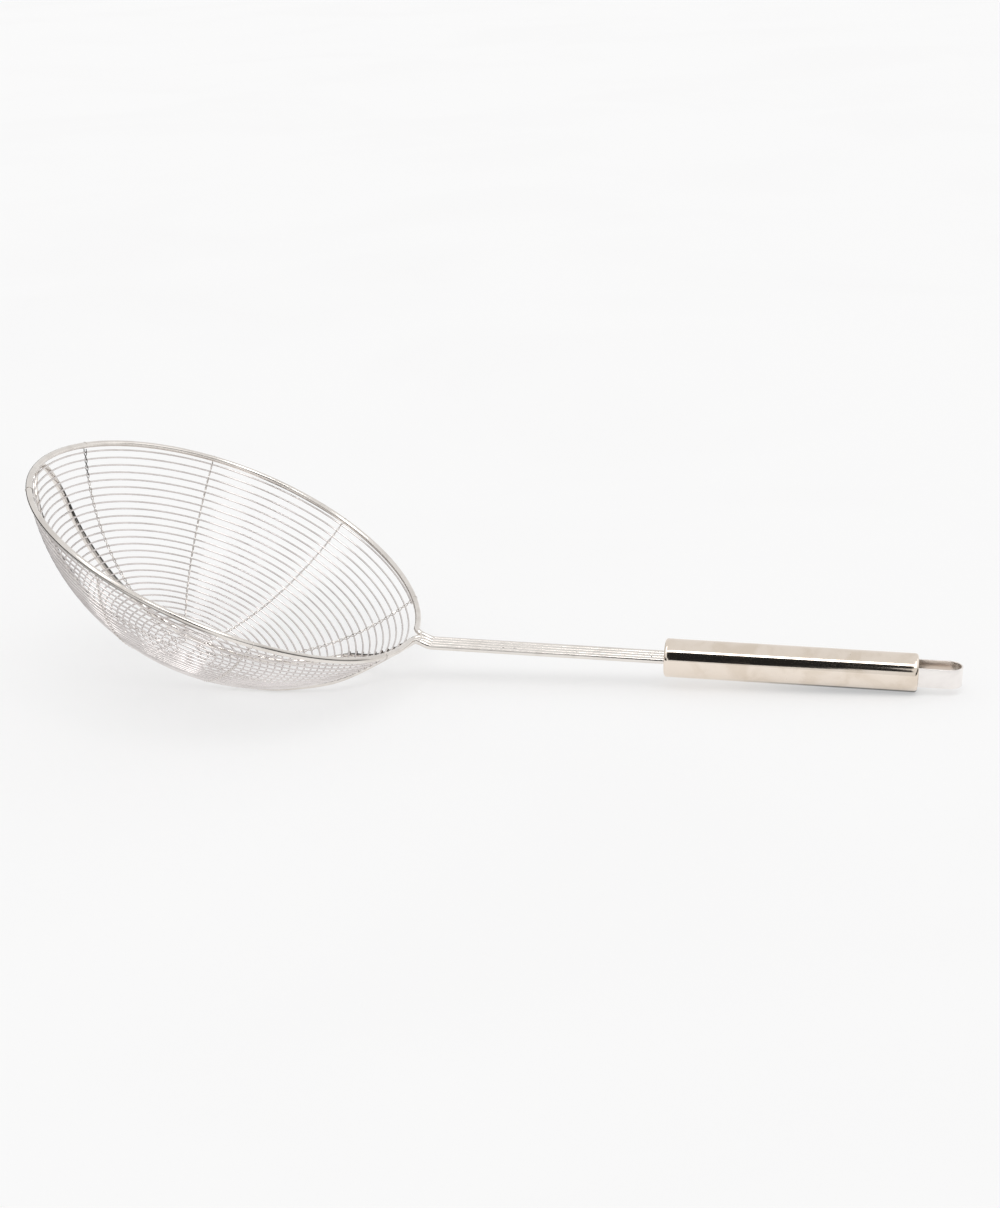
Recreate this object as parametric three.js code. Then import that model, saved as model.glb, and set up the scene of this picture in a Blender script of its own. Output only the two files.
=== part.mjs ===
// Wire skimmer: a hoop with a spiral wire bowl, carried by a four-rod stem in a tube handle.
// Millimetres, +Z up. The skimmer lies as it rests on a table: on its support rod and the tube's far end.
// It is drawn in the bowl's own frame first (hoop in the XY plane, stem along +X), then tilted to rest.
import * as THREE from 'three';

// Driving dimensions
const hoopOuterDiameter = 200;
const hoopSaddle = 2.8; // rise of the hoop's two sides above its front and back
const hoopLegBend = 5; // bend radius where the hoop turns into its stem legs
const rodDiameter = 3; // hoop, stem and support are bent from the same rod
const bowlDepth = 58.2; // hoop plane to the spiral wire at the bowl's centre
const spiralWireDiameter = 0.9;
const spiralTurns = 31;
const spiralEye = 3.5; // inner end of the spiral, from the bowl's centre
const ribCount = 8;
const ribWireDiameter = 0.5;
const ribEye = 7; // inner end of the ribs, from the bowl's centre
const ribHookAngle = 230; // how far each outer strand wraps round the hoop, in degrees
const supportWidth = 34; // between the support's two runs
const supportSplayStart = 5; // from the hoop's middle line to where the runs begin to spread
const supportSplayLength = 23;
const supportBend = 4; // length of the bend from bowl to stem
const supportEaseStart = 0.5; // share of the hoop's radius where the support leaves the ribs
const supportEaseEnd = 0.7; // share of the hoop's radius where it has closed up to the spiral
const stemLead = 8.8; // from the hoop's middle line to the knee
const kneeAngle = 23.2; // between the hoop plane and the handle, in degrees
const kneeBend = 8;
const stemLength = 112.5; // knee to the tube's front end
const tubeDiameter = 18.4;
const tubeWall = 0.7;
const tubeLength = 118;
const tubeEndRound = 1.3;
const plugLength = 14;
const plugRecess = 1.5; // plug faces lie this far inside the tube's ends
const rodTail = 4; // stem rods reach this far past the front plug
const loopReach = 20.5; // hanging loop beyond the tube's rear end
const loopStripWidth = 9.2;
const loopStripThickness = 0.8;
const loopLegSpacing = 12; // between the middles of the loop's two legs
const loopShoulder = 0.2; // how much thinner the legs are inside the tube
const clearance = 0.15; // between neighbouring pieces

// Facets
const rodSides = 8;
const wireSides = 5;
const stepsPerRibGap = 3;
const hoopSteps = 72;
const bendSteps = 5;
const runSteps = 30;
const strandSteps = 14;
const hookSteps = 7;
const tubeFacets = 32;

// Derived sizes
const rodRadius = rodDiameter / 2;
const wireRadius = spiralWireDiameter / 2;
const strandRadius = ribWireDiameter / 2;
const hoopRadius = hoopOuterDiameter / 2 - rodRadius;
const bowlRadius = (hoopRadius ** 2 + bowlDepth ** 2) / (2 * bowlDepth);
const bowlCentreHeight = bowlRadius - bowlDepth;
const rimAngle = Math.atan2(hoopRadius, bowlCentreHeight);
const rimArc = bowlRadius * rimAngle;
const rodPitch = rodDiameter + clearance;
const supportLegY = rodPitch / 2; // the support's two legs lie side by side,
const hoopLegY = supportLegY + rodPitch; // with the hoop's legs outside them
const tubeRadius = tubeDiameter / 2;
const boreRadius = tubeRadius - tubeWall;
const plugRadius = boreRadius - clearance;
const rodReach = stemLength + plugRecess + plugLength + rodTail;
const tubeEnd = stemLength + tubeLength;
const radians = THREE.MathUtils.degToRad;

const rodSteel = { color: 0xd9d5cd, roughness: 0.16, metalness: 1 };
const wireSteel = { color: 0xcfccc8, roughness: 0.24, metalness: 1 };
const tubeSteel = { color: 0xdcd6cb, roughness: 0.18, metalness: 1 };
const plugSteel = { color: 0x9f9d99, roughness: 0.42, metalness: 1 };

// The bowl is a spherical cap; the saddle of the hoop fades out towards its centre.
// arc is measured along the wall from the bowl's centre, outset is away from the bowl's inside.
function bowlPoint(arc, turn, outset) {
  const polar = arc / bowlRadius;
  const reach = (bowlRadius + outset) * Math.sin(polar);
  const rise = saddleRise(reach, turn);
  const height = bowlCentreHeight - (bowlRadius + outset) * Math.cos(polar) + rise;
  return new THREE.Vector3(reach * Math.cos(turn), reach * Math.sin(turn), height);
}

function saddleRise(reach, turn) {
  return hoopSaddle * Math.sin(turn) ** 2 * (reach / hoopRadius) ** 2;
}

// A path through given points, which an extrusion follows point by point.
class PointPath extends THREE.Curve {
  constructor(points) {
    super();
    this.points = points;
    this.last = points.length - 1;
  }

  getPointAt(u) {
    return this.points[Math.round(u * this.last)].clone();
  }

  getTangentAt(u) {
    const index = Math.round(u * this.last);
    const before = this.points[Math.max(index - 1, 0)];
    const after = this.points[Math.min(index + 1, this.last)];
    return after.clone().sub(before).normalize();
  }
}

function roundBar(points, radius, sides) {
  const corners = [];
  for (let i = 0; i < sides; i += 1) {
    const angle = (2 * Math.PI * i) / sides;
    corners.push(new THREE.Vector2(radius * Math.cos(angle), radius * Math.sin(angle)));
  }
  const section = new THREE.Shape(corners);
  const extrudePath = new PointPath(points);
  return new THREE.ExtrudeGeometry(section, { steps: points.length - 1, extrudePath });
}

function mirrored(point) {
  return new THREE.Vector3(point.x, -point.y, point.z);
}

function piece(name, geometry, look) {
  const mesh = new THREE.Mesh(geometry, new THREE.MeshStandardMaterial(look));
  mesh.name = name;
  return mesh;
}

// Stem: every rod runs from the hoop plane through the knee and along the handle, side by side.
const kneeX = hoopRadius + stemLead;
const kneeTilt = radians(kneeAngle);

function stemPoints(y) {
  const tangent = kneeBend * Math.tan(kneeTilt / 2);
  const points = [];
  for (let i = 0; i <= bendSteps; i += 1) {
    const angle = (kneeTilt * i) / bendSteps;
    const x = kneeX - tangent + kneeBend * Math.sin(angle);
    const z = kneeBend * (1 - Math.cos(angle));
    points.push(new THREE.Vector3(x, y, z));
  }
  const end = kneeX + rodReach * Math.cos(kneeTilt);
  points.push(new THREE.Vector3(end, y, rodReach * Math.sin(kneeTilt)));
  return points;
}

// Hoop rod: its ends turn outward with a small bend and become the outer rods of the stem.
function hoopRod() {
  const bendY = hoopLegY + hoopLegBend;
  const openAngle = Math.asin(bendY / (hoopRadius + hoopLegBend));
  const bendX = (hoopRadius + hoopLegBend) * Math.cos(openAngle);
  const ring = [];
  for (let i = 0; i <= hoopSteps; i += 1) {
    const turn = openAngle + ((2 * Math.PI - 2 * openAngle) * i) / hoopSteps;
    ring.push(bowlPoint(rimArc, turn, 0));
  }
  const corner = [];
  for (let i = 1; i <= bendSteps; i += 1) {
    const angle = Math.PI + openAngle + ((Math.PI / 2 - openAngle) * i) / bendSteps;
    const x = bendX + hoopLegBend * Math.cos(angle);
    const y = bendY + hoopLegBend * Math.sin(angle);
    corner.push(new THREE.Vector3(x, y, saddleRise(hoopRadius, Math.atan2(y, x))));
  }
  const leg = [...corner, ...stemPoints(hoopLegY)];
  const otherLeg = leg.map(mirrored);
  return roundBar([...leg.reverse(), ...ring, ...otherLeg], rodRadius, rodSides);
}

// Spiral wire: one unbroken wire on the cap, from under the hoop at the first rib to the eye.
const ribAngle = (index) => (2 * Math.PI * (index + 0.5)) / ribCount;
const stepsPerTurn = stepsPerRibGap * ribCount;
const spiralStart = rimArc - rodRadius - clearance - wireRadius;
const spiralPitch = (spiralStart - spiralEye) / spiralTurns;

function spiralPoints() {
  const points = [];
  for (let i = 0; i <= spiralTurns * stepsPerTurn; i += 1) {
    const turns = i / stepsPerTurn;
    points.push(bowlPoint(spiralStart - spiralPitch * turns, ribAngle(0) + 2 * Math.PI * turns, 0));
  }
  return points;
}

function leastGapBetweenTurns(points) {
  let least = Infinity;
  for (let i = 0; i + stepsPerTurn / 2 < points.length; i += 1) {
    const last = Math.min(i + 2 * stepsPerTurn, points.length - 1);
    for (let k = i + stepsPerTurn / 2; k <= last; k += 1) {
      least = Math.min(least, points[i].distanceTo(points[k]));
    }
  }
  return least - spiralWireDiameter;
}

// Ribs: each has a strand inside the spiral and a strand outside it that hooks over the hoop.
const strandOutset = wireRadius + clearance + strandRadius;
const hookRadius = rodRadius + clearance + strandRadius;
const hookStart = Math.PI - Math.asin(Math.min(strandOutset / hookRadius, 1));
const strandStop = rimArc + hookRadius * Math.cos(hookStart);

function strandPoints(turn, outset, stop) {
  const points = [];
  for (let i = 0; i <= strandSteps; i += 1) {
    points.push(bowlPoint(ribEye + ((stop - ribEye) * i) / strandSteps, turn, outset));
  }
  return points;
}

function innerStrand(turn) {
  return roundBar(strandPoints(turn, -strandOutset, strandStop - strandRadius), strandRadius, wireSides);
}

function outerStrand(turn) {
  const points = strandPoints(turn, strandOutset, strandStop - strandRadius);
  const rim = bowlPoint(rimArc, turn, 0);
  const outward = bowlPoint(rimArc, turn, 1).sub(rim);
  const across = new THREE.Vector3(-Math.sin(turn), Math.cos(turn), 0);
  const upward = outward.clone().cross(across);
  for (let i = 0; i <= hookSteps; i += 1) {
    const angle = hookStart - (radians(ribHookAngle) * i) / hookSteps;
    const point = rim.clone();
    point.addScaledVector(upward, hookRadius * Math.cos(angle));
    point.addScaledVector(outward, hookRadius * Math.sin(angle));
    points.push(point);
  }
  return roundBar(points, strandRadius, wireSides);
}

// Support rod: a hairpin under the bowl. Its round end meets the hoop opposite the stem, its two runs
// pass outside the ribs, draw together at the stem and become the inner rods of the stem.
const outsetAtRim = wireRadius + clearance + rodRadius;
const outsetUnderRibs = outsetAtRim + ribWireDiameter + clearance;
const supportDrop = Math.sqrt(Math.max((rodDiameter + clearance) ** 2 - outsetAtRim ** 2, 0));

function supportPoint(x, y) {
  const reach = Math.hypot(x, y);
  const ease = THREE.MathUtils.smoothstep(reach / hoopRadius, supportEaseStart, supportEaseEnd);
  const outset = THREE.MathUtils.lerp(outsetUnderRibs, outsetAtRim, ease);
  const height = bowlCentreHeight - Math.sqrt((bowlRadius + outset) ** 2 - reach ** 2);
  return new THREE.Vector3(x, y, height + saddleRise(reach, Math.atan2(y, x)));
}

function supportRod() {
  const half = supportWidth / 2;
  const tip = (bowlRadius + outsetAtRim) * Math.sin((rimArc - supportDrop) / bowlRadius);
  const jointX = Math.sqrt((bowlRadius + outsetAtRim) ** 2 - bowlCentreHeight ** 2);
  const joint = new THREE.Vector3(jointX, supportLegY, 0);
  const bowlSide = supportPoint(jointX - supportBend * Math.cos(rimAngle), supportLegY);
  const stemSide = joint.clone().setX(jointX + supportBend);
  const run = new THREE.QuadraticBezierCurve3(stemSide, joint, bowlSide).getPoints(bendSteps);
  const splayStart = hoopRadius - supportSplayStart;
  const turnX = half - tip;
  for (let i = 1; i <= runSteps; i += 1) {
    const x = THREE.MathUtils.lerp(bowlSide.x, turnX, i / runSteps);
    const spread = THREE.MathUtils.smoothstep(splayStart - x, 0, supportSplayLength);
    run.push(supportPoint(x, THREE.MathUtils.lerp(supportLegY, half, spread)));
  }
  for (let i = 1; i <= bendSteps; i += 1) {
    const angle = Math.PI / 2 + (Math.PI / 2 / bendSteps) * i;
    run.push(supportPoint(turnX + half * Math.cos(angle), half * Math.sin(angle)));
  }
  const leg = [...stemPoints(supportLegY).reverse(), ...run];
  const otherLeg = leg.slice(0, -1).map(mirrored);
  return roundBar([...leg, ...otherLeg.reverse()], rodRadius, rodSides);
}

// Handle, drawn along its own X axis from the knee.
function handleTube() {
  const roundedEnd = (middle, side) => {
    const points = [];
    for (let i = 0; i <= bendSteps; i += 1) {
      const angle = ((Math.PI / 2) * i) / bendSteps;
      const radius = tubeRadius - tubeEndRound * (1 - Math.cos(angle));
      points.push(new THREE.Vector2(radius, middle + side * tubeEndRound * Math.sin(angle)));
    }
    return points;
  };
  const frontMiddle = stemLength + tubeEndRound;
  const rearMiddle = tubeEnd - tubeEndRound;
  const profile = [...roundedEnd(frontMiddle, -1).reverse(), ...roundedEnd(rearMiddle, 1)];
  profile.push(new THREE.Vector2(boreRadius, rearMiddle), new THREE.Vector2(boreRadius, frontMiddle));
  profile.push(profile[0].clone());
  return new THREE.LatheGeometry(profile, tubeFacets).rotateZ(-Math.PI / 2);
}

const alongHandle = new THREE.Matrix4().makeBasis(
  new THREE.Vector3(0, 1, 0),
  new THREE.Vector3(0, 0, 1),
  new THREE.Vector3(1, 0, 0),
);

function plugSolid(shape, start) {
  const solid = new THREE.ExtrudeGeometry(shape, { depth: plugLength, bevelEnabled: false });
  return solid.applyMatrix4(alongHandle).translate(start, 0, 0);
}

// Front plug: a disc with one slot that the four rods of the stem pass through.
function frontPlug() {
  const shape = new THREE.Shape().absarc(0, 0, plugRadius, 0, 2 * Math.PI, false);
  const slotRadius = rodRadius + clearance;
  const slot = new THREE.Path();
  slot.absarc(hoopLegY, 0, slotRadius, Math.PI / 2, -Math.PI / 2, true);
  slot.absarc(-hoopLegY, 0, slotRadius, -Math.PI / 2, (-3 * Math.PI) / 2, true);
  shape.holes.push(slot);
  return plugSolid(shape, stemLength + plugRecess);
}

// Rear plug: a disc with two flats, which press the loop's legs against the tube.
function rearPlug() {
  const flat = loopLegSpacing / 2 - loopStripThickness / 2 - clearance;
  const edge = Math.acos(flat / plugRadius);
  const shape = new THREE.Shape();
  shape.absarc(0, 0, plugRadius, edge, Math.PI - edge, false);
  shape.absarc(0, 0, plugRadius, Math.PI + edge, 2 * Math.PI - edge, false);
  return plugSolid(shape, tubeEnd - plugRecess - plugLength);
}

// Hanging loop: one flat strip on edge, bent round. Its legs are thinned behind a small shoulder and
// go into the tube beside the rear plug.
function hangingLoop() {
  const outer = loopLegSpacing / 2 + loopStripThickness / 2;
  const inner = outer - loopStripThickness;
  const tang = outer - loopShoulder;
  const start = tubeEnd - plugRecess - plugLength;
  const shoulder = tubeEnd + clearance;
  const centre = tubeEnd + loopReach - outer;
  const shape = new THREE.Shape();
  shape.moveTo(start, tang);
  shape.lineTo(shoulder, tang);
  shape.lineTo(shoulder, outer);
  shape.absarc(centre, 0, outer, Math.PI / 2, -Math.PI / 2, true);
  shape.lineTo(shoulder, -outer);
  shape.lineTo(shoulder, -tang);
  shape.lineTo(start, -tang);
  shape.lineTo(start, -inner);
  shape.absarc(centre, 0, inner, -Math.PI / 2, Math.PI / 2, false);
  shape.lineTo(start, inner);
  shape.closePath();
  const strip = new THREE.ExtrudeGeometry(shape, { depth: loopStripWidth, bevelEnabled: false });
  return strip.translate(0, 0, -loopStripWidth / 2);
}

// Assembly
const skimmer = new THREE.Group();
const bowl = new THREE.Group();
const handle = new THREE.Group();
skimmer.add(bowl, handle);

const windings = spiralPoints();
console.log(`least gap between spiral turns ${leastGapBetweenTurns(windings).toFixed(2)} mm`);
bowl.add(piece('hoop_rod', hoopRod(), rodSteel));
bowl.add(piece('support_rod', supportRod(), rodSteel));
bowl.add(piece('spiral_wire', roundBar(windings, wireRadius, wireSides), wireSteel));
for (let i = 0; i < ribCount; i += 1) {
  bowl.add(piece(`rib_${i + 1}_inner_strand`, innerStrand(ribAngle(i)), wireSteel));
  bowl.add(piece(`rib_${i + 1}_outer_strand`, outerStrand(ribAngle(i)), wireSteel));
}

handle.position.x = kneeX;
handle.rotation.y = -kneeTilt;
handle.add(piece('handle_tube', handleTube(), tubeSteel));
handle.add(piece('front_plug', frontPlug(), plugSteel));
handle.add(piece('rear_plug', rearPlug(), plugSteel));
handle.add(piece('hanging_loop', hangingLoop(), rodSteel));

// Resting tilt: turned about Y until the bowl and the handle reach equally low.
function lowestPoint(group, tilt) {
  skimmer.rotation.y = tilt;
  skimmer.updateMatrixWorld(true);
  return new THREE.Box3().setFromObject(group, true).min.z;
}

let levelled = 0;
let upended = Math.PI / 2;
while (upended - levelled > 1e-7) {
  const tilt = (levelled + upended) / 2;
  if (lowestPoint(bowl, tilt) < lowestPoint(handle, tilt)) {
    levelled = tilt;
  } else {
    upended = tilt;
  }
}
skimmer.rotation.y = levelled;
skimmer.updateMatrixWorld(true);

// Origin: on the table, under the middle of the whole skimmer.
const bounds = new THREE.Box3().setFromObject(skimmer, true);
const middle = bounds.getCenter(new THREE.Vector3());
skimmer.position.set(-middle.x, -middle.y, -bounds.min.z);

export default skimmer;
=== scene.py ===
import math

import bmesh
import bpy
from mathutils import Matrix, Vector


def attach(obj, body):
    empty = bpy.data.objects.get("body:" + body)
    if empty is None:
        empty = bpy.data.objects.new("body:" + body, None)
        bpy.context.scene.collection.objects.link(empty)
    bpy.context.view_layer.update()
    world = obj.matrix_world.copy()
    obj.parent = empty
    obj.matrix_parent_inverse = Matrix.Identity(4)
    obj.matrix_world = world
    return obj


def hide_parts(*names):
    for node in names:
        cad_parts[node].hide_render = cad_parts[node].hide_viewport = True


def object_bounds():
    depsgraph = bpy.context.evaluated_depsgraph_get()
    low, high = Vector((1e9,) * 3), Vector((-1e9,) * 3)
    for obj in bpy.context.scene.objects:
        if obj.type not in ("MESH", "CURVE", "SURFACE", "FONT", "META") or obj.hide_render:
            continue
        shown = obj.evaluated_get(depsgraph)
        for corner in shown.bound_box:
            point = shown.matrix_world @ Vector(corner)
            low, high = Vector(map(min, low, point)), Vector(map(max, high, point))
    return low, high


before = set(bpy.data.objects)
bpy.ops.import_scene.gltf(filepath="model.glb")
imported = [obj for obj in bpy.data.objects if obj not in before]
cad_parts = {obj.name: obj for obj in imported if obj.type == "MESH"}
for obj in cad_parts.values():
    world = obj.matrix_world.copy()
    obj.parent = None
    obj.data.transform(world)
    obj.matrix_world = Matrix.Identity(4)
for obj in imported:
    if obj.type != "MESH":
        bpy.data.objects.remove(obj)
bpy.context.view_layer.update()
print("frame loaded with", len(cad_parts), "solids")

scene = bpy.context.scene
scene.view_settings.view_transform = "Standard"
mm = 0.001  # pieces are drawn in millimetres and placed in metres

# how the skimmer lies, in degrees and millimetres: hoop tipped towards the stem,
# its middle above the table, and the knee where the stem begins
lie = {"tilt": 25.826, "middle": (-127.715, 0.0, 66.437), "knee": 23.2, "kneeX": 107.3}
handleSlope = lie["tilt"] - lie["knee"]
bowlToTable = (
    Matrix.Translation(Vector(lie["middle"]) * mm)
    @ Matrix.Rotation(math.radians(lie["tilt"]), 4, "Y")
    @ Matrix.Scale(mm, 4)
)
handleToTable = (
    bowlToTable
    @ Matrix.Translation((lie["kneeX"], 0, 0))
    @ Matrix.Rotation(-math.radians(lie["knee"]), 4, "Y")
)

# camera at the photograph's place, image taken as 1000 x 1208
view = {
    "place": (0.16618, -0.96920, 0.39308),
    "right": (0.98765, 0.15174, -0.03893),
    "up": (-0.01516, 0.33993, 0.94033),
    "focalPixels": 2200,
    "imageHeight": 1208,
    "sensor": 36,
    "clip": (0.01, 50),
}


def setCamera():
    lens = bpy.data.cameras.new("photoView")
    lens.sensor_width = view["sensor"]
    lens.lens = view["sensor"] * view["focalPixels"] / view["imageHeight"]
    lens.clip_start, lens.clip_end = view["clip"]
    eye = bpy.data.objects.new("photoView", lens)
    scene.collection.objects.link(eye)
    right = Vector(view["right"]).normalized()
    up = Vector(view["up"]).normalized()
    back = right.cross(up).normalized()
    turned = Matrix((right, back.cross(right), back)).transposed()
    eye.matrix_world = Matrix.Translation(view["place"]) @ turned.to_4x4()
    scene.camera = eye


setCamera()
print("camera set")


# shader groups shared by the finishes
grainNoise = {"detail": 5, "roughness": 0.65}
filmNoise = {"detail": 4, "distortion": 0.6}


def addNode(tree, kind, **settings):
    made = tree.nodes.new(kind)
    for key, value in settings.items():
        setattr(made, key, value)
    return made


def newGroup(name, inputs, outputs):
    group = bpy.data.node_groups.new(name, "ShaderNodeTree")
    for label, kind, default in inputs:
        socket = group.interface.new_socket(label, in_out="INPUT", socket_type=kind)
        if default is not None:
            socket.default_value = default
    for label, kind in outputs:
        group.interface.new_socket(label, in_out="OUTPUT", socket_type=kind)
    return group, addNode(group, "NodeGroupInput"), addNode(group, "NodeGroupOutput")


def makeGrainGroup():
    # fine lines left by drawing and polishing
    group, given, made = newGroup(
        "drawnGrain",
        [("Vector", "NodeSocketVector", None), ("Scale", "NodeSocketFloat", 900.0)],
        [("Grain", "NodeSocketFloat")],
    )
    lines = addNode(group, "ShaderNodeTexNoise")
    lines.inputs["Detail"].default_value = grainNoise["detail"]
    lines.inputs["Roughness"].default_value = grainNoise["roughness"]
    group.links.new(given.outputs["Vector"], lines.inputs["Vector"])
    group.links.new(given.outputs["Scale"], lines.inputs["Scale"])
    group.links.new(lines.outputs["Fac"], made.inputs["Grain"])
    return group


def makeFilmGroup():
    # cloudy handling film with soft edges
    group, given, made = newGroup(
        "handlingFilm",
        [
            ("Vector", "NodeSocketVector", None),
            ("Scale", "NodeSocketFloat", 60.0),
            ("Start", "NodeSocketFloat", 0.42),
            ("End", "NodeSocketFloat", 0.68),
        ],
        [("Film", "NodeSocketFloat")],
    )
    cloud = addNode(group, "ShaderNodeTexNoise")
    cloud.inputs["Detail"].default_value = filmNoise["detail"]
    cloud.inputs["Distortion"].default_value = filmNoise["distortion"]
    ease = addNode(group, "ShaderNodeMapRange", interpolation_type="SMOOTHSTEP")
    group.links.new(given.outputs["Vector"], cloud.inputs["Vector"])
    group.links.new(given.outputs["Scale"], cloud.inputs["Scale"])
    group.links.new(cloud.outputs["Fac"], ease.inputs["Value"])
    group.links.new(given.outputs["Start"], ease.inputs["From Min"])
    group.links.new(given.outputs["End"], ease.inputs["From Max"])
    group.links.new(ease.outputs["Result"], made.inputs["Film"])
    return group


def makeFleckGroup():
    # small dark flecks and nicks
    group, given, made = newGroup(
        "darkFlecks",
        [
            ("Vector", "NodeSocketVector", None),
            ("Scale", "NodeSocketFloat", 260.0),
            ("Size", "NodeSocketFloat", 0.12),
        ],
        [("Fleck", "NodeSocketFloat")],
    )
    cells = addNode(group, "ShaderNodeTexVoronoi")
    ease = addNode(group, "ShaderNodeMapRange", interpolation_type="SMOOTHSTEP")
    ease.inputs["To Min"].default_value = 1
    ease.inputs["To Max"].default_value = 0
    group.links.new(given.outputs["Vector"], cells.inputs["Vector"])
    group.links.new(given.outputs["Scale"], cells.inputs["Scale"])
    group.links.new(cells.outputs["Distance"], ease.inputs["Value"])
    group.links.new(given.outputs["Size"], ease.inputs["From Max"])
    group.links.new(ease.outputs["Result"], made.inputs["Fleck"])
    return group


grainGroup = makeGrainGroup()
filmGroup = makeFilmGroup()
fleckGroup = makeFleckGroup()


def placeGroup(tree, group, vector, **values):
    made = addNode(tree, "ShaderNodeGroup", node_tree=group)
    tree.links.new(vector, made.inputs["Vector"])
    for label, value in values.items():
        made.inputs[label].default_value = value
    return made


def mixColours(tree, mask, first, second):
    made = addNode(tree, "ShaderNodeMix", data_type="RGBA")
    tree.links.new(mask, made.inputs["Factor"])
    for socket, colour in ((made.inputs[6], first), (made.inputs[7], second)):
        if isinstance(colour, tuple):
            socket.default_value = (*colour, 1)
        else:
            tree.links.new(colour, socket)
    return made.outputs[2]


# a finish has three tones and sometimes a painted shade tone for painted shadow and dark
# reflection, the turn and stretch of its grain, the scales of grain, film and flecks, its
# roughness from and to, and the grain's relief
steelIor = 2.2


def steelFinish(name, steel):
    material = bpy.data.materials.new(name)
    material.use_nodes = True
    tree = material.node_tree
    shader = tree.nodes["Principled BSDF"]
    shader.inputs["Metallic"].default_value = 1
    shader.inputs["IOR"].default_value = steelIor
    place = addNode(tree, "ShaderNodeTexCoord")
    turn = addNode(tree, "ShaderNodeMapping")
    turn.inputs["Rotation"].default_value = (0, math.radians(steel["turn"]), 0)
    turn.inputs["Scale"].default_value = steel["stretch"]
    tree.links.new(place.outputs["Object"], turn.inputs["Vector"])
    along = turn.outputs["Vector"]
    plain = place.outputs["Object"]
    grain = placeGroup(tree, grainGroup, along, Scale=steel["grain"])
    film = placeGroup(tree, filmGroup, plain, Scale=steel["film"])
    fleck = placeGroup(tree, fleckGroup, plain, Scale=steel["flecks"], Size=steel["fleckSize"])
    clouded = mixColours(tree, film.outputs["Film"], steel["bright"], steel["clouded"])
    tone = mixColours(tree, fleck.outputs["Fleck"], clouded, steel["dark"])
    # painted shade and painted dark reflections, given per point on the mesh, darken the tone here
    if "paintedShade" in steel:
        carried = addNode(tree, "ShaderNodeAttribute", attribute_name="paintedShade")
        tone = mixColours(tree, carried.outputs["Fac"], tone, steel["paintedShade"])
    tree.links.new(tone, shader.inputs["Base Color"])
    uneven = addNode(tree, "ShaderNodeMath", operation="MULTIPLY_ADD")
    uneven.inputs[1].default_value = steel["filmRough"]
    tree.links.new(film.outputs["Film"], uneven.inputs[0])
    spread = addNode(tree, "ShaderNodeMapRange")
    spread.inputs["To Min"].default_value = steel["rough"][0]
    spread.inputs["To Max"].default_value = steel["rough"][1]
    tree.links.new(grain.outputs["Grain"], spread.inputs["Value"])
    tree.links.new(spread.outputs["Result"], uneven.inputs[2])
    tree.links.new(uneven.outputs["Value"], shader.inputs["Roughness"])
    relief = addNode(tree, "ShaderNodeBump")
    relief.inputs["Strength"].default_value = steel["relief"]
    relief.inputs["Distance"].default_value = steel["reliefDepth"]
    tree.links.new(grain.outputs["Grain"], relief.inputs["Height"])
    tree.links.new(relief.outputs["Normal"], shader.inputs["Normal"])
    return material


# shared ways to make and place a piece
mergeWithin = 1e-4  # millimetres
smoothCorner = 40  # degrees, steeper edges stay crisp
sharpCorner = 60  # degrees, steeper edges are rounded


def settle(mesh, name, finish, slotName, *nodes):
    mesh.name = name
    piece = bpy.data.objects.new(name, mesh)
    scene.collection.objects.link(piece)
    mesh.materials.clear()
    mesh.materials.append(finish)
    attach(piece, "root")
    if nodes:
        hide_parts(*nodes)


def smoothMesh(mesh, corner=smoothCorner):
    mesh.polygons.foreach_set("use_smooth", [True] * len(mesh.polygons))
    mesh.set_sharp_from_angle(angle=math.radians(corner))


def wireMesh(name, path, radius, roundness, thinning=None):
    # a round wire bent along the path, with flat cut ends
    # thinning gives each point's share of the radius
    line = bpy.data.curves.new(name, "CURVE")
    line.dimensions = "3D"
    line.bevel_depth = radius
    line.bevel_resolution = roundness
    line.use_fill_caps = True
    strand = line.splines.new("POLY")
    strand.points.add(len(path) - 1)
    for spot, point in zip(strand.points, path):
        spot.co = (*point, 1)
    for spot, share in zip(strand.points, thinning or []):
        spot.radius = share
    holder = bpy.data.objects.new(name, line)
    scene.collection.objects.link(holder)
    ready = holder.evaluated_get(bpy.context.evaluated_depsgraph_get())
    mesh = bpy.data.meshes.new_from_object(ready)
    bpy.data.objects.remove(holder)
    bpy.data.curves.remove(line)
    mesh.transform(bowlToTable)
    smoothMesh(mesh)
    return mesh


def sharpEdges(shape):
    limit = math.radians(sharpCorner)
    return [edge for edge in shape.edges if edge.calc_face_angle(0) > limit]


def roundEdges(shape, edges, width, segments):
    bmesh.ops.bevel(
        shape, geom=edges, offset=width, segments=segments,
        profile=0.5, affect="EDGES", material=-1,
    )


def solidMesh(shape, name, place, corner=smoothCorner):
    bmesh.ops.remove_doubles(shape, verts=shape.verts, dist=mergeWithin)
    bmesh.ops.recalc_face_normals(shape, faces=shape.faces)
    bmesh.ops.transform(shape, matrix=place, verts=shape.verts)
    mesh = bpy.data.meshes.new(name)
    shape.to_mesh(mesh)
    shape.free()
    smoothMesh(mesh, corner)
    return mesh


def paintShade(mesh, place, shadeAt):
    # how much painted shade each point gets, for painted shadow and dark reflection, worked out in
    # the piece's own millimetres
    toPiece = place.inverted()
    amounts = [shadeAt(toPiece @ spot.co) for spot in mesh.vertices]
    mesh.attributes.new("paintedShade", "FLOAT", "POINT").data.foreach_set("value", amounts)
    return mesh


def blend(start, end, value):
    share = min(max((value - start) / (end - start), 0), 1)
    return share * share * (3 - 2 * share)


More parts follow.
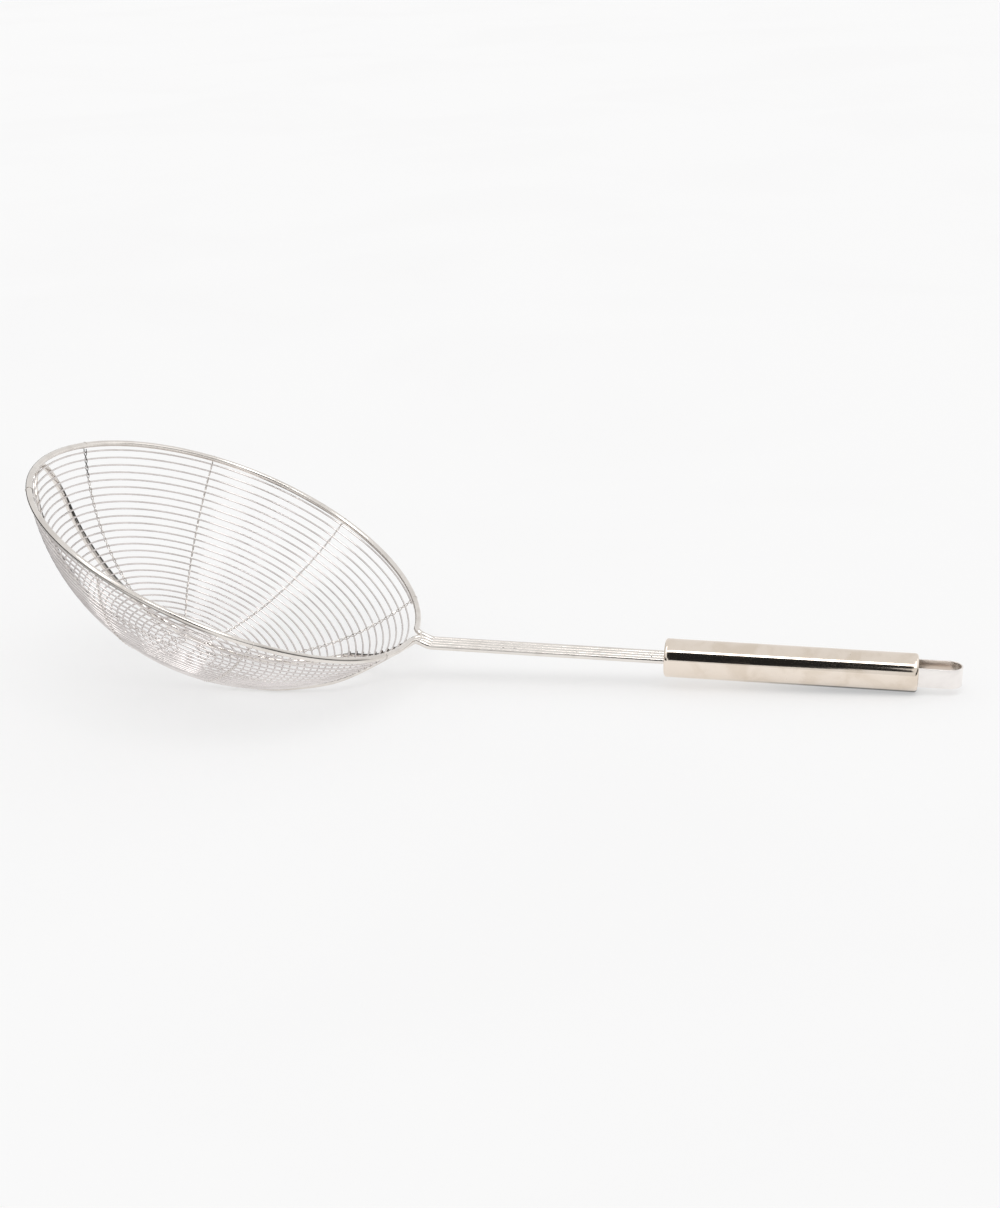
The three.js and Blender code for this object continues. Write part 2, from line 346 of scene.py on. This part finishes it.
# the bowl: a spherical cap whose rim rises a little at both sides
# rod and wires are given by their radius
bowl = {
    "hoopRadius": 98.5, "depth": 58.2, "saddle": 2.8,
    "rod": 1.5, "spiralWire": 0.45, "clearance": 0.15,
}
bowlRadius = (bowl["hoopRadius"] ** 2 + bowl["depth"] ** 2) / (2 * bowl["depth"])
bowlHeight = bowlRadius - bowl["depth"]
rimAngle = math.atan2(bowl["hoopRadius"], bowlHeight)
rimArc = bowlRadius * rimAngle


def saddleRise(reach, turn):
    return bowl["saddle"] * math.sin(turn) ** 2 * (reach / bowl["hoopRadius"]) ** 2


def bowlPoint(arc, turn, outset):
    polar = arc / bowlRadius
    reach = (bowlRadius + outset) * math.sin(polar)
    height = bowlHeight - (bowlRadius + outset) * math.cos(polar) + saddleRise(reach, turn)
    return Vector((reach * math.cos(turn), reach * math.sin(turn), height))


# the stem's four rods all take the same knee
stem = {"kneeBend": 8.0, "bendSteps": 16, "reach": 132.0, "pitch": 3.15}
innerLegY = stem["pitch"] / 2
outerLegY = innerLegY + stem["pitch"]


def stemPath(y):
    knee = math.radians(lie["knee"])
    lead = stem["kneeBend"] * math.tan(knee / 2)
    path = []
    for i in range(stem["bendSteps"] + 1):
        angle = knee * i / stem["bendSteps"]
        x = lie["kneeX"] - lead + stem["kneeBend"] * math.sin(angle)
        path.append(Vector((x, y, stem["kneeBend"] * (1 - math.cos(angle)))))
    end = (lie["kneeX"] + stem["reach"] * math.cos(knee), y, stem["reach"] * math.sin(knee))
    path.append(Vector(end))
    return path


def mirrored(path):
    return [Vector((p.x, -p.y, p.z)) for p in path]


# hoop rod: rim and the two outer rods of the stem
hoopRod = {"legBend": 5.0, "ringSteps": 220, "bendSteps": 14, "roundness": 8}
# the rod's darkest tone, marked stain, is the colour of painted reflections and painted crevice
# shade
rodSteel = {
    "bright": (0.755, 0.715, 0.675), "clouded": (0.675, 0.635, 0.595), "dark": (0.30, 0.27, 0.24),
    "paintedShade": (0.045, 0.04, 0.035), "turn": 0, "stretch": (1, 1, 1),
    "grain": 1500, "film": 90, "flecks": 420, "fleckSize": 0.09,
    "rough": (0.08, 0.18), "filmRough": 0.06, "relief": 0.05, "reliefDepth": 0.00001,
}
# painted dark lines on the hoop: painted reflections of dark surroundings on the near rim and
# painted crevice shade under the far rim, in degrees: from and to round the hoop, angle round the
# rod, half width
hoopShadeLines = {
    "lines": ((212, 286, -38, 28), (290, 332, 42, 18), (68, 100, -128, 30), (40, 66, -128, 24)),
    "fade": 8, "core": 1 / 3, "strength": 0.9,
}
rodFinish = steelFinish("polishedRod", rodSteel)


def hoopPath():
    bendY = outerLegY + hoopRod["legBend"]
    opening = math.asin(bendY / (bowl["hoopRadius"] + hoopRod["legBend"]))
    bendX = (bowl["hoopRadius"] + hoopRod["legBend"]) * math.cos(opening)
    ring = []
    for i in range(hoopRod["ringSteps"] + 1):
        turn = opening + (2 * math.pi - 2 * opening) * i / hoopRod["ringSteps"]
        ring.append(bowlPoint(rimArc, turn, 0))
    leg = []
    for i in range(1, hoopRod["bendSteps"] + 1):
        angle = math.pi + opening + (math.pi / 2 - opening) * i / hoopRod["bendSteps"]
        x = bendX + hoopRod["legBend"] * math.cos(angle)
        y = bendY + hoopRod["legBend"] * math.sin(angle)
        leg.append(Vector((x, y, saddleRise(bowl["hoopRadius"], math.atan2(y, x)))))
    leg += stemPath(outerLegY)
    return leg[::-1] + ring + mirrored(leg)


# painted dark reflections and painted crevice shade along the hoop rod
def hoopShade(spot):
    reach = math.hypot(spot.x, spot.y)
    turn = math.atan2(spot.y, spot.x)
    degrees = math.degrees(turn) % 360
    around = math.degrees(math.atan2(spot.z - saddleRise(reach, turn), reach - bowl["hoopRadius"]))
    paintedShade = 0.0
    for start, end, angle, half in hoopShadeLines["lines"]:
        fadeIn = blend(start, start + hoopShadeLines["fade"], degrees)
        fadeOut = blend(end - hoopShadeLines["fade"], end, degrees)
        away = abs((around - angle + 180) % 360 - 180)
        across = 1 - blend(half * hoopShadeLines["core"], half, away)
        paintedShade = max(paintedShade, fadeIn * (1 - fadeOut) * across)
    return hoopShadeLines["strength"] * paintedShade


hoopMesh = wireMesh("hoop", hoopPath(), bowl["rod"], hoopRod["roundness"])
paintShade(hoopMesh, bowlToTable, hoopShade)
settle(hoopMesh, "hoop", rodFinish, "polished_rod", "hoop_rod")
print("hoop bent")

# support rod: a hairpin under the bowl and the two inner rods of the stem
supportRod = {
    "width": 34.0, "splayStart": 5.0, "splayLength": 23.0, "bend": 4.0,
    "touch": 0.04, "ribRoom": 0.45, "easeStart": 0.5, "easeEnd": 0.65,
    "runSteps": 120, "bendSteps": 18, "roundness": 8,
}
outsetAtRim = bowl["spiralWire"] + supportRod["touch"] + bowl["rod"]
outsetUnderRibs = outsetAtRim + supportRod["ribRoom"]
supportDrop = math.sqrt((2 * bowl["rod"] + supportRod["touch"]) ** 2 - outsetAtRim ** 2)


def supportOutset(reach):
    ease = blend(supportRod["easeStart"], supportRod["easeEnd"], reach / bowl["hoopRadius"])
    return outsetUnderRibs + (outsetAtRim - outsetUnderRibs) * ease


def supportPoint(x, y):
    reach = math.hypot(x, y)
    height = bowlHeight - math.sqrt((bowlRadius + supportOutset(reach)) ** 2 - reach ** 2)
    return Vector((x, y, height + saddleRise(reach, math.atan2(y, x))))


def runOffset(x):
    # the runs leave the stem close together and splay to the hairpin's width
    spread = blend(0, supportRod["splayLength"], bowl["hoopRadius"] - supportRod["splayStart"] - x)
    return innerLegY + (supportRod["width"] / 2 - innerLegY) * spread


def supportPath():
    half = supportRod["width"] / 2
    tip = (bowlRadius + outsetAtRim) * math.sin((rimArc - supportDrop) / bowlRadius)
    jointX = math.sqrt((bowlRadius + outsetAtRim) ** 2 - bowlHeight ** 2)
    joint = Vector((jointX, innerLegY, 0))
    bowlSide = supportPoint(jointX - supportRod["bend"] * math.cos(rimAngle), innerLegY)
    stemSide = Vector((jointX + supportRod["bend"], innerLegY, 0))
    run = []
    for i in range(supportRod["bendSteps"] + 1):
        share = i / supportRod["bendSteps"]
        run.append(stemSide.lerp(joint, share).lerp(joint.lerp(bowlSide, share), share))
    turnX = half - tip
    for i in range(1, supportRod["runSteps"] + 1):
        x = bowlSide.x + (turnX - bowlSide.x) * i / supportRod["runSteps"]
        run.append(supportPoint(x, runOffset(x)))
    for i in range(1, supportRod["bendSteps"] + 1):
        angle = math.pi / 2 + math.pi / 2 * i / supportRod["bendSteps"]
        run.append(supportPoint(turnX + half * math.cos(angle), half * math.sin(angle)))
    leg = stemPath(innerLegY)[::-1] + run
    return leg + mirrored(leg[:-1])[::-1]


# painted crevice shade on the support's inner face, between the spiral's turns, at both ends of
# the bowl
supportCreviceShade = {
    "bend": (-94.0, -86.0), "tip": (-50.0, -34.0), "tipFacing": (0.74, 0.92),
    "stem": (66.0, 76.0), "stemFacing": (0.85, 0.96),
}


# painted crevice shade where the spiral's turns lie on the support
def supportShade(spot):
    if spot.x > bowl["hoopRadius"]:
        return 0.0
    reach = math.hypot(spot.x, spot.y)
    middle = Vector((0, 0, bowlHeight + saddleRise(reach, math.atan2(spot.y, spot.x))))
    inward = (bowlRadius + supportOutset(reach) - (spot - middle).length) / bowl["rod"]
    tipShare = blend(*supportCreviceShade["bend"], spot.x) * (1 - blend(*supportCreviceShade["tip"], spot.x))
    stemShare = blend(*supportCreviceShade["stem"], spot.x)
    atTip = tipShare * blend(*supportCreviceShade["tipFacing"], inward)
    return max(atTip, stemShare * blend(*supportCreviceShade["stemFacing"], inward))


supportMesh = wireMesh("support", supportPath(), bowl["rod"], supportRod["roundness"])
paintShade(supportMesh, bowlToTable, supportShade)
settle(supportMesh, "support", rodFinish, "polished_rod", "support_rod")
print("support bent")

# spiral wire: one wire wound from under the hoop to the middle
spiral = {"turns": 31, "eye": 3.5, "startAngle": 22.5, "stepsPerTurn": 96, "roundness": 3}
spiralSteel = {
    "bright": (0.72, 0.682, 0.668), "clouded": (0.64, 0.602, 0.588), "dark": (0.28, 0.26, 0.25),
    "turn": 0, "stretch": (1, 1, 1), "grain": 2600, "film": 70, "flecks": 500, "fleckSize": 0.08,
    "rough": (0.07, 0.14), "filmRough": 0.04, "relief": 0.02, "reliefDepth": 0.00001,
}
spiralFinish = steelFinish("drawnSpiral", spiralSteel)
spiralStart = rimArc - bowl["rod"] - bowl["clearance"] - bowl["spiralWire"]
spiralPitch = (spiralStart - spiral["eye"]) / spiral["turns"]


def spiralPath():
    startTurn = math.radians(spiral["startAngle"])
    path = []
    for i in range(spiral["turns"] * spiral["stepsPerTurn"] + 1):
        turns = i / spiral["stepsPerTurn"]
        turn = startTurn + 2 * math.pi * turns
        path.append(bowlPoint(spiralStart - spiralPitch * turns, turn, 0))
    return path


spiralMesh = wireMesh("spiral", spiralPath(), bowl["spiralWire"], spiral["roundness"])
settle(spiralMesh, "spiral", spiralFinish, "spiral_steel", "spiral_wire")
print("spiral wound")

# ribs: two wires twisted half a turn between the spiral's turns, folded round the hoop
rib = {
    "angles": (24.0, 66.8, 111.5, 156.3, 202.5, 247.5, 292.5, 337.5),
    "wire": 0.22, "eye": 7.0, "nip": 0.02, "fold": 230, "foldThin": 0.45, "thinSteps": 5,
    "stepsPerTurn": 12, "foldSteps": 26, "roundness": 2,
}
# the rib's darkest tone, marked stain, is the colour of a painted dark reflection
ribSteel = {
    "bright": (0.70, 0.66, 0.63), "clouded": (0.60, 0.565, 0.53), "dark": (0.24, 0.21, 0.18),
    "paintedShade": (0.06, 0.055, 0.05), "turn": 0, "stretch": (1, 1, 1),
    "grain": 2600, "film": 80, "flecks": 600, "fleckSize": 0.10,
    "rough": (0.08, 0.16), "filmRough": 0.04, "relief": 0.02, "reliefDepth": 0.00001,
}
# one rib is painted dark below the hoop, a painted dark reflection
ribDarkReflection = {"rib": 4, "from": 19.0, "full": 12.0, "strength": 0.85}
ribFinish = steelFinish("twistedRib", ribSteel)


def ribPath(degrees, side):
    turn = math.radians(degrees)
    across = Vector((-math.sin(turn), math.cos(turn), 0))
    firstCrossing = spiralStart - spiralPitch * ((degrees - spiral["startAngle"]) / 360 % 1)
    crossGap = bowl["spiralWire"] + rib["wire"] + rib["nip"]
    sideGap = rib["wire"] + rib["nip"]
    foldRadius = bowl["rod"] + rib["wire"] + rib["nip"]
    foldStart = math.pi - math.asin(crossGap / foldRadius)
    stop = rimArc + foldRadius * math.cos(foldStart) - rib["wire"]
    steps = round((stop - rib["eye"]) / spiralPitch * rib["stepsPerTurn"])
    path = []
    for i in range(steps + 1):
        arc = rib["eye"] + (stop - rib["eye"]) * i / steps
        twist = math.pi * max(firstCrossing - arc, 0) / spiralPitch
        point = bowlPoint(arc, turn, side * crossGap * math.cos(twist))
        path.append(point + across * (side * sideGap * math.sin(twist)))
    thinning = [1.0] * len(path)
    if side < 0:
        return path, thinning
    rim = bowlPoint(rimArc, turn, 0)
    outward = bowlPoint(rimArc, turn, 1) - rim
    upward = outward.cross(across)
    for i in range(rib["foldSteps"] + 1):
        angle = foldStart - math.radians(rib["fold"]) * i / rib["foldSteps"]
        share = 1 - (1 - rib["foldThin"]) * blend(0, rib["thinSteps"], i)
        radius = foldRadius - rib["wire"] * (1 - share)
        rise, reach = radius * math.cos(angle), radius * math.sin(angle)
        path.append(rim + upward * rise + outward * reach)
        thinning.append(share)
    return path, thinning


# painted dark reflection on one rib, from just below the hoop downwards
def ribPaintedReflection(spot):
    fromRim = rimArc - bowlRadius * math.atan2(math.hypot(spot.x, spot.y), bowlHeight - spot.z)
    if fromRim < bowl["rod"]:
        return 0.0
    return ribDarkReflection["strength"] * (1 - blend(ribDarkReflection["full"], ribDarkReflection["from"], fromRim))


for index, degrees in enumerate(rib["angles"], 1):
    for side, strand in ((-1, "inner"), (1, "outer")):
        name = f"rib_{index}_{strand}"
        path, thinning = ribPath(degrees, side)
        mesh = wireMesh(name, path, rib["wire"], rib["roundness"], thinning)
        if index == ribDarkReflection["rib"]:
            paintShade(mesh, bowlToTable, ribPaintedReflection)
        settle(mesh, name, ribFinish, "rib_steel", f"{name}_strand")
print("ribs twisted")

# weld beads: where the spiral's turns cross the support near the stem,
# and along one groove of the stem
weld = {
    "runBead": 0.62, "runStart": 97.0, "runEnd": 71.0, "runStep": 0.02,
    "stemBead": 0.36, "stemHeight": 0.85,
    "stemSpots": (15.4, 21.3, 27.5, 35.7, 41.0, 46.0, 51.5, 71.0, 106.5),
    "uneven": 0.3, "unevenStep": 5, "detail": 2,
}
weldSteel = {
    "bright": (0.150, 0.115, 0.090), "clouded": (0.075, 0.058, 0.046),
    "dark": (0.030, 0.025, 0.020), "turn": 0, "stretch": (1, 1, 1),
    "grain": 1800, "film": 400, "flecks": 900, "fleckSize": 0.20,
    "rough": (0.35, 0.60), "filmRough": 0.10, "relief": 0.40, "reliefDepth": 0.00005,
}
weldFinish = steelFinish("burntWeld", weldSteel)


def runCrossings():
    crossings = []
    for side in (1, -1):
        lastTurn = 0
        for i in range(round((weld["runStart"] - weld["runEnd"]) / weld["runStep"])):
            x = weld["runStart"] - weld["runStep"] * i
            y = side * runOffset(x)
            arc = bowlRadius * math.asin(math.hypot(x, y) / bowlRadius)
            turn = math.atan2(y, x)
            startShare = (math.degrees(turn) - spiral["startAngle"]) / 360 % 1
            turnsDone = math.floor((spiralStart - arc) / spiralPitch - startShare)
            if turnsDone >= 0 and turnsDone >= lastTurn:
                crossings.append(bowlPoint(arc, turn, bowl["spiralWire"]))
                lastTurn = turnsDone + 1
    return crossings


def weldBeads():
    toBowl = bowlToTable.inverted() @ handleToTable
    spots = [(spot, weld["runBead"]) for spot in runCrossings()]
    for reach in weld["stemSpots"]:
        spot = toBowl @ Vector((reach, -stem["pitch"], weld["stemHeight"]))
        spots.append((spot, weld["stemBead"]))
    shape = bmesh.new()
    for index, (spot, radius) in enumerate(spots):
        size = radius * (1 + weld["uneven"] * math.sin(weld["unevenStep"] * index))
        bead = bmesh.ops.create_icosphere(shape, subdivisions=weld["detail"], radius=size)
        bmesh.ops.translate(shape, verts=bead["verts"], vec=spot)
    return solidMesh(shape, "welds", bowlToTable)


settle(weldBeads(), "weld_beads", weldFinish, "polished_rod")
print("welds set")

# handle tube: drawn steel with rolled ends
tube = {
    "start": 112.5, "length": 118.0, "radius": 9.2, "wall": 0.7,
    "roll": 1.5, "rollSteps": 10, "lipDepth": 0.5, "wallSteps": 60, "facets": 128,
}
tubeEnd = tube["start"] + tube["length"]
# painted contact shadow underneath: where it starts and is full along the handle,
# its core and half width in degrees from straight below
tubeContactShadow = {"from": 135.0, "full": 200.0, "core": 40.0, "half": 47.0}
# the tube's darkest tone, marked stain, is the colour of the painted contact shadow
tubeSteel = {
    "bright": (0.783, 0.699, 0.615), "clouded": (0.706, 0.616, 0.522), "dark": (0.30, 0.26, 0.22),
    "paintedShade": (0.03, 0.027, 0.024), "turn": handleSlope, "stretch": (0.04, 1, 1),
    "grain": 1400, "film": 70, "flecks": 170, "fleckSize": 0.065,
    "rough": (0.04, 0.10), "filmRough": 0.03, "relief": 0.03, "reliefDepth": 0.00002,
}
tubeFinish = steelFinish("polishedTube", tubeSteel)


def turnTube():
    bore = tube["radius"] - tube["wall"]
    lip = tube["radius"] - tube["roll"]
    rolled = []
    for i in range(tube["rollSteps"]):
        angle = math.pi / 2 * i / tube["rollSteps"]
        rolled.append((tube["roll"] * (1 - math.cos(angle)), lip + tube["roll"] * math.sin(angle)))
    straight = tube["length"] - 2 * tube["roll"]
    wall = []
    for i in range(tube["wallSteps"] + 1):
        x = tube["start"] + tube["roll"] + straight * i / tube["wallSteps"]
        wall.append((x, tube["radius"]))
    hidden = [(tube["lipDepth"], lip), (tube["roll"], bore)]  # behind the rolled lip
    profile = [(tube["start"] + depth, r) for depth, r in rolled] + wall
    profile += [(tubeEnd - depth, r) for depth, r in rolled[::-1] + hidden]
    profile += [(tube["start"] + depth, r) for depth, r in hidden[::-1]]
    shape = bmesh.new()
    spots = [shape.verts.new((x, 0, r)) for x, r in profile]
    edges = [shape.edges.new((a, b)) for a, b in zip(spots, spots[1:] + spots[:1])]
    bmesh.ops.spin(
        shape, geom=spots + edges, cent=(0, 0, 0), axis=(1, 0, 0),
        angle=2 * math.pi, steps=tube["facets"], use_merge=True,
    )
    return solidMesh(shape, "tube", handleToTable)


# painted contact shadow along the tube's underside, toward the end that rests on the table
def tubeShadow(spot):
    below = math.degrees(math.atan2(abs(spot.y), -spot.z))
    across = 1 - blend(tubeContactShadow["core"], tubeContactShadow["half"], below)
    return across * blend(tubeContactShadow["from"], tubeContactShadow["full"], spot.x)


tubeMesh = paintShade(turnTube(), handleToTable, tubeShadow)
settle(tubeMesh, "tube", tubeFinish, "tube_steel", "handle_tube")
print("tube turned")

# plugs inside the tube's ends
plug = {
    "radius": 8.2, "length": 14.0, "recess": 1.5, "edge": 0.5, "edgeSegments": 3,
    "slotGap": 0.12, "flat": 5.45, "facets": 64, "corner": 30,
}
plugSteel = {
    "bright": (0.60, 0.58, 0.55), "clouded": (0.48, 0.46, 0.43), "dark": (0.22, 0.20, 0.18),
    "turn": handleSlope, "stretch": (1, 1, 1),
    "grain": 900, "film": 160, "flecks": 500, "fleckSize": 0.12,
    "rough": (0.30, 0.48), "filmRough": 0.10, "relief": 0.30, "reliefDepth": 0.00004,
}
plugFinish = steelFinish("turnedPlug", plugSteel)
# turns a disc's axis along the handle
discToHandle = Matrix(((0, 0, 1, 0), (1, 0, 0, 0), (0, 1, 0, 0), (0, 0, 0, 1)))


def thickDisc(shape, name, start):
    pushed = bmesh.ops.extrude_face_region(shape, geom=shape.faces[:])
    corners = [part for part in pushed["geom"] if isinstance(part, bmesh.types.BMVert)]
    bmesh.ops.translate(shape, verts=corners, vec=(0, 0, plug["length"]))
    bmesh.ops.recalc_face_normals(shape, faces=shape.faces)
    rims = []
    for edge in sharpEdges(shape):
        first, second = edge.verts
        if abs(first.co.z - second.co.z) < mergeWithin:
            rims.append(edge)
    roundEdges(shape, rims, plug["edge"], plug["edgeSegments"])
    place = handleToTable @ Matrix.Translation((start, 0, 0)) @ discToHandle
    return solidMesh(shape, name, place, plug["corner"])


def cutFrontPlug():
    shape = bmesh.new()
    bmesh.ops.create_circle(shape, segments=plug["facets"], radius=plug["radius"])
    slotRadius = bowl["rod"] + plug["slotGap"]
    slot = bmesh.ops.create_circle(shape, segments=plug["facets"], radius=slotRadius)
    for corner in slot["verts"]:
        corner.co.x += math.copysign(outerLegY, corner.co.x)
    bmesh.ops.bridge_loops(shape, edges=shape.edges[:])
    return thickDisc(shape, "frontPlug", tube["start"] + plug["recess"])


def cutRearPlug():
    shape = bmesh.new()
    bmesh.ops.create_circle(shape, segments=plug["facets"], radius=plug["radius"], cap_ends=True)
    for side in (-1, 1):
        bmesh.ops.bisect_plane(
            shape, geom=shape.verts[:] + shape.edges[:] + shape.faces[:],
            plane_co=(side * plug["flat"], 0, 0), plane_no=(side, 0, 0), clear_outer=True,
        )
    return thickDisc(shape, "rearPlug", tubeEnd - plug["recess"] - plug["length"])


settle(cutFrontPlug(), "front_plug_disc", plugFinish, "plug_steel", "front_plug")
settle(cutRearPlug(), "rear_plug_disc", plugFinish, "plug_steel", "rear_plug")
print("plugs cut")

# hanging loop: a flat strip on edge, bent round behind the tube
loop = {
    "reach": 20.5, "width": 9.2, "thick": 0.8, "outer": 6.4, "inside": 15.5, "steps": 40,
    "edge": 0.14, "edgeSegments": 2, "corner": 50,
}
loopCentre = tubeEnd + loop["reach"] - loop["outer"]
# the loop's last tone, marked stain, is painted shade for the strip's inner face
loopSteel = {
    "bright": (0.835, 0.80, 0.775), "clouded": (0.785, 0.75, 0.725), "dark": (0.36, 0.32, 0.28),
    "paintedShade": (0.80, 0.735, 0.68), "turn": handleSlope, "stretch": (0.05, 1, 1),
    "grain": 1600, "film": 110, "flecks": 300, "fleckSize": 0.07,
    "rough": (0.12, 0.26), "filmRough": 0.08, "relief": 0.10, "reliefDepth": 0.00002,
}
loopFinish = steelFinish("polishedStrip", loopSteel)


def pushFace(shape, face, step):
    pushed = bmesh.ops.extrude_discrete_faces(shape, faces=[face])["faces"][0]
    bmesh.ops.translate(shape, verts=pushed.verts, vec=step)
    return pushed


def bendLoop():
    start = tubeEnd - loop["inside"]
    half = loop["width"] / 2
    outer, inner = -loop["outer"], loop["thick"] - loop["outer"]
    corners = ((outer, -half), (inner, -half), (inner, half), (outer, half))
    shape = bmesh.new()
    section = shape.faces.new([shape.verts.new((start, y, z)) for y, z in corners])
    leg = pushFace(shape, section, (loopCentre - start, 0, 0))
    bent = bmesh.ops.spin(
        shape, geom=[leg] + leg.edges[:] + leg.verts[:], cent=(loopCentre, 0, 0),
        axis=(0, 0, 1), angle=math.pi, steps=loop["steps"],
    )
    last = [part for part in bent["geom_last"] if isinstance(part, bmesh.types.BMFace)][0]
    pushFace(shape, last, (start - loopCentre, 0, 0))
    bmesh.ops.remove_doubles(shape, verts=shape.verts, dist=mergeWithin)
    bmesh.ops.recalc_face_normals(shape, faces=shape.faces)
    roundEdges(shape, sharpEdges(shape), loop["edge"], loop["edgeSegments"])
    return solidMesh(shape, "loop", handleToTable, loop["corner"])


def loopShade(spot):
    # the strip's inner face gets painted shade, standing in for its dark reflection of the loop's
    # inside
    fromMiddle = math.hypot(max(spot.x - loopCentre, 0), spot.y)
    return 1.0 if fromMiddle < loop["outer"] - loop["thick"] / 2 else 0.0


loopMesh = paintShade(bendLoop(), handleToTable, loopShade)
settle(loopMesh, "loop", loopFinish, "strip_steel", "hanging_loop")
print("loop bent")

# studio: pale floor, soft light from above and in front, cards that only the metal sees
# seen, mirrored and fill are the room's level as seen, in the metal, and as light
studio = {
    "floorSize": 14.0, "floor": (0.510, 0.509, 0.509), "floorCloud": (0.500, 0.498, 0.498),
    "floorFilm": 3.0, "floorRough": 0.9, "floorSpecular": 0.1,
    "floorGlow": 0.455, "floorShine": 0.565,
    "seen": 0.96, "mirrored": 0.92, "fill": 0.80,
    "lightFrom": (0.10, -0.45, 1.0), "lightSpread": 40, "lightGlow": 0.18,
}


def standing(y, *outline):
    return [(x, y, z) for x, z in outline]


def overhead(z, *outline):
    return [(x, y, z) for x, y in outline]


# each card: its corners in order, and its glow
cards = {
    "darkCardFront": (standing(
        -0.80, (0.005, 0.10), (0.107, 0.122), (0.173, 0.186), (0.205, 0.32),
        (0.256, 0.65), (0.261, 0.33), (0.285, 0.36), (0.345, 0.85),
        (0.365, 1.20), (0.335, 1.33), (0.260, 0.705), (0.262, 1.30),
        (-0.04, 1.30), (-0.06, 0.70),
    ), 0.02),
    "darkCardLeft": ((
        (-1.50, -0.35, 0.06), (-0.10, -1.20, 0.06),
        (-0.10, -1.20, 0.33), (-1.50, -0.35, 0.33),
    ), 0.04),
    "darkCardRight": ((
        (0.42, -1.12, 0.06), (1.35, 0.15, 0.06),
        (1.35, 0.15, 0.38), (0.42, -1.12, 0.33),
    ), 0.04),
    "darkCardEnd": ((
        (-0.56, -0.55, 0.0), (-0.56, 0.90, 0.0),
        (-0.56, 0.90, 0.17), (-0.56, -0.55, 0.17),
    ), 0.05),
    "paleCardRight": ((
        (1.20, -0.35, 0.40), (1.20, 0.95, 0.40),
        (1.20, 0.95, 1.35), (1.20, -0.35, 1.35),
    ), 1.30),
    "paleBoxRight": (overhead(
        1.06, (0.37, -0.85), (0.84, -0.85), (0.56, 0.05), (0.37, 0.05),
    ), 3.4),
    "lightStrip": (overhead(
        1.06, (-0.06, -0.76), (0.37, -0.58), (0.37, -0.35), (-0.06, -0.54),
    ), 5.0),
    "paleBoxLeft": (overhead(
        1.06, (-1.08, -0.85), (-0.67, -0.85), (-0.05, 0.05), (-0.40, 0.05),
    ), 3.4),
}


def stageObject(name, shape, material):
    mesh = bpy.data.meshes.new(name)
    shape.to_mesh(mesh)
    shape.free()
    mesh.materials.append(material)
    made = bpy.data.objects.new(name, mesh)
    scene.collection.objects.link(made)
    return made


def layFloor():
    paper = bpy.data.materials.new("paleFloor")
    paper.use_nodes = True
    tree = paper.node_tree
    shader = tree.nodes["Principled BSDF"]
    shader.inputs["Roughness"].default_value = studio["floorRough"]
    shader.inputs["Specular IOR Level"].default_value = studio["floorSpecular"]
    shader.inputs["Emission Color"].default_value = (1, 1, 1, 1)
    ray = addNode(tree, "ShaderNodeLightPath")
    glow = addNode(tree, "ShaderNodeMapRange")
    glow.inputs["To Min"].default_value = studio["floorGlow"]
    glow.inputs["To Max"].default_value = studio["floorShine"]
    tree.links.new(ray.outputs["Is Glossy Ray"], glow.inputs["Value"])
    tree.links.new(glow.outputs["Result"], shader.inputs["Emission Strength"])
    place = addNode(tree, "ShaderNodeTexCoord")
    film = placeGroup(tree, filmGroup, place.outputs["Object"], Scale=studio["floorFilm"])
    tone = mixColours(tree, film.outputs["Film"], studio["floor"], studio["floorCloud"])
    tree.links.new(tone, shader.inputs["Base Color"])
    shape = bmesh.new()
    bmesh.ops.create_grid(shape, x_segments=2, y_segments=2, size=studio["floorSize"] / 2)
    low = min(0.0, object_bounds()[0].z)
    bmesh.ops.translate(shape, verts=shape.verts, vec=(0, 0, low))
    stageObject("floor", shape, paper)


def hangCards():
    for name, (corners, tone) in cards.items():
        flat = bpy.data.materials.new(name)
        flat.use_nodes = True
        tree = flat.node_tree
        tree.nodes.clear()
        glow = addNode(tree, "ShaderNodeEmission")
        glow.inputs["Strength"].default_value = tone
        surface = addNode(tree, "ShaderNodeOutputMaterial")
        tree.links.new(glow.outputs["Emission"], surface.inputs["Surface"])
        shape = bmesh.new()
        spots = [shape.verts.new(corner) for corner in corners]
        bmesh.ops.contextual_create(shape, geom=spots)
        card = stageObject(name, shape, flat)
        card.visible_camera = False
        card.visible_diffuse = False
        card.visible_shadow = False
        card.visible_transmission = False


def setLights():
    soft = bpy.data.lights.new("softLight", "SUN")
    soft.angle = math.radians(studio["lightSpread"])
    soft.energy = studio["lightGlow"] * math.pi
    lamp = bpy.data.objects.new("softLight", soft)
    scene.collection.objects.link(lamp)
    aim = -Vector(studio["lightFrom"])
    lamp.rotation_euler = aim.to_track_quat("-Z", "Y").to_euler()
    lamp.visible_glossy = False
    room = bpy.data.worlds.new("studio")
    room.use_nodes = True
    scene.world = room
    tree = room.node_tree
    tree.nodes.clear()
    ray = addNode(tree, "ShaderNodeLightPath")
    shine = addNode(tree, "ShaderNodeMapRange")
    shine.inputs["To Min"].default_value = studio["fill"]
    shine.inputs["To Max"].default_value = studio["mirrored"]
    tree.links.new(ray.outputs["Is Glossy Ray"], shine.inputs["Value"])
    level = addNode(tree, "ShaderNodeMapRange")
    level.inputs["To Max"].default_value = studio["seen"]
    tree.links.new(shine.outputs["Result"], level.inputs["To Min"])
    tree.links.new(ray.outputs["Is Camera Ray"], level.inputs["Value"])
    back = addNode(tree, "ShaderNodeBackground")
    back.inputs["Color"].default_value = (1, 1, 1, 1)
    tree.links.new(level.outputs["Result"], back.inputs["Strength"])
    surface = addNode(tree, "ShaderNodeOutputWorld")
    tree.links.new(back.outputs["Background"], surface.inputs["Surface"])


layFloor()
hangCards()
setLights()
print("studio lit")
